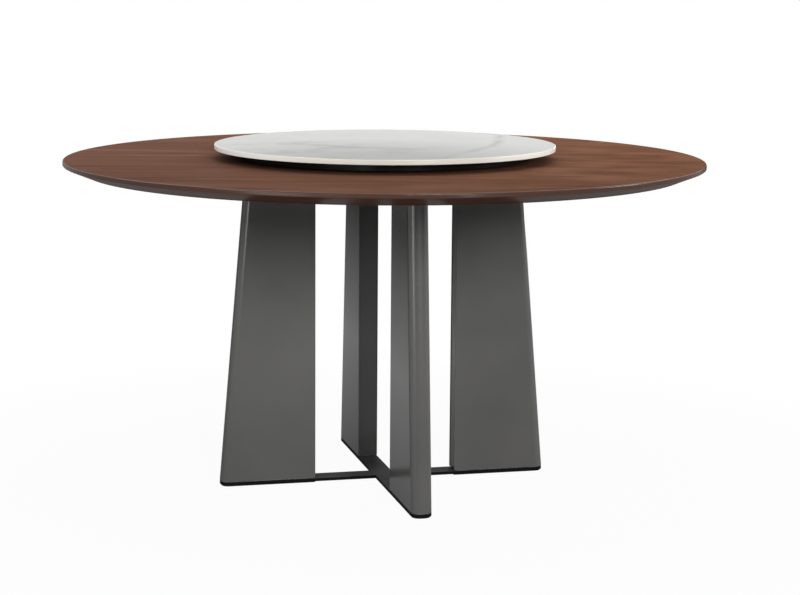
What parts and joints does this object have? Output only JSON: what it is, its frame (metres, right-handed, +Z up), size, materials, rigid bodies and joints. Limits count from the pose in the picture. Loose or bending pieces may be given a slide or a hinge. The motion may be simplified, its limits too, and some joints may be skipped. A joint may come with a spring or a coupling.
{
  "type": "dining table with lazy susan",
  "caption": "Round walnut dining table with an under-bevelled top on crossed tapered steel panel legs, and a raised stone turntable disc on a ball race.",
  "frame": {"origin": "on the floor under the middle of the table, on the axis of the turntable", "axes": "+Z up along the turntable's axis; the panel legs stand along +X (right), +Y (back), -X (left) and -Y (front)"},
  "size_m": [1.4998, 1.4998, 0.804],
  "materials": {
    "walnut_veneer": "satin lacquer",
    "walnut_lipping": "satin lacquer",
    "board_core": "raw board",
    "brass_inserts": "plain",
    "gunmetal_paint": "satin powder coat",
    "black_paint": "fine textured powder coat",
    "welded_steel": "mill scale",
    "zinc_fasteners": "zinc plated",
    "black_rubber": "matte",
    "clear_silicone": "satin",
    "black_aluminium": "black anodised",
    "bearing_steel": "ground",
    "nylon": "matte",
    "white_stone": "honed with grey veins"
  },
  "bodies": {
    "table": {"backing_veneer": "walnut_veneer", "base_cross": "black_paint", "base_screws": "zinc_fasteners", "edge_lipping": "walnut_lipping", "floor_pad_back": "black_rubber", "floor_pad_front": "black_rubber", "floor_pad_left": "black_rubber", "floor_pad_right": "black_rubber", "grip_pads": "black_rubber", "leg_closure_strip_back": "gunmetal_paint", "leg_closure_strip_front": "gunmetal_paint", "leg_closure_strip_left": "gunmetal_paint", "leg_closure_strip_right": "gunmetal_paint", "leg_foot_plate_back": "welded_steel", "leg_foot_plate_front": "welded_steel", "leg_foot_plate_left": "welded_steel", "leg_foot_plate_right": "welded_steel", "leg_head_plate_back": "welded_steel", "leg_head_plate_front": "welded_steel", "leg_head_plate_left": "welded_steel", "leg_head_plate_right": "welded_steel", "leg_head_screws": "zinc_fasteners", "leg_shell_back": "gunmetal_paint", "leg_shell_front": "gunmetal_paint", "leg_shell_left": "gunmetal_paint", "leg_shell_right": "gunmetal_paint", "lower_race": "bearing_steel", "lower_race_screws": "zinc_fasteners", "mounting_cross": "black_paint", "pivot_clip": "bearing_steel", "pivot_pin": "bearing_steel", "tabletop_core": "board_core", "threaded_inserts": "brass_inserts", "top_bolt_washers": "zinc_fasteners", "top_bolts": "zinc_fasteners", "top_veneer": "walnut_veneer", "turntable_plate": "black_aluminium"},
    "lazy_susan": {"turntable_drum": "black_aluminium", "upper_race": "bearing_steel", "upper_race_screws": "zinc_fasteners", "pivot_bush": "nylon", "bond_pads": "clear_silicone", "stone_disc": "white_stone"},
    "ball_cage": {"ball_cage": "nylon", "bearing_balls": "bearing_steel"}
  },
  "joints": [
    {"name": "turntable_spin", "type": "hinge", "parent": "table", "child": "lazy_susan", "pos_m": [0, 0, 0.7805], "axis": [0, 0, 1], "continuous": true},
    {"name": "cage_orbit", "type": "hinge", "parent": "table", "child": "ball_cage", "pos_m": [0, 0, 0.7805], "axis": [0, 0, 1], "continuous": true}
  ],
  "couplings": [
    {"joint": "cage_orbit", "follows": "turntable_spin", "ratio": 0.5}
  ]
}
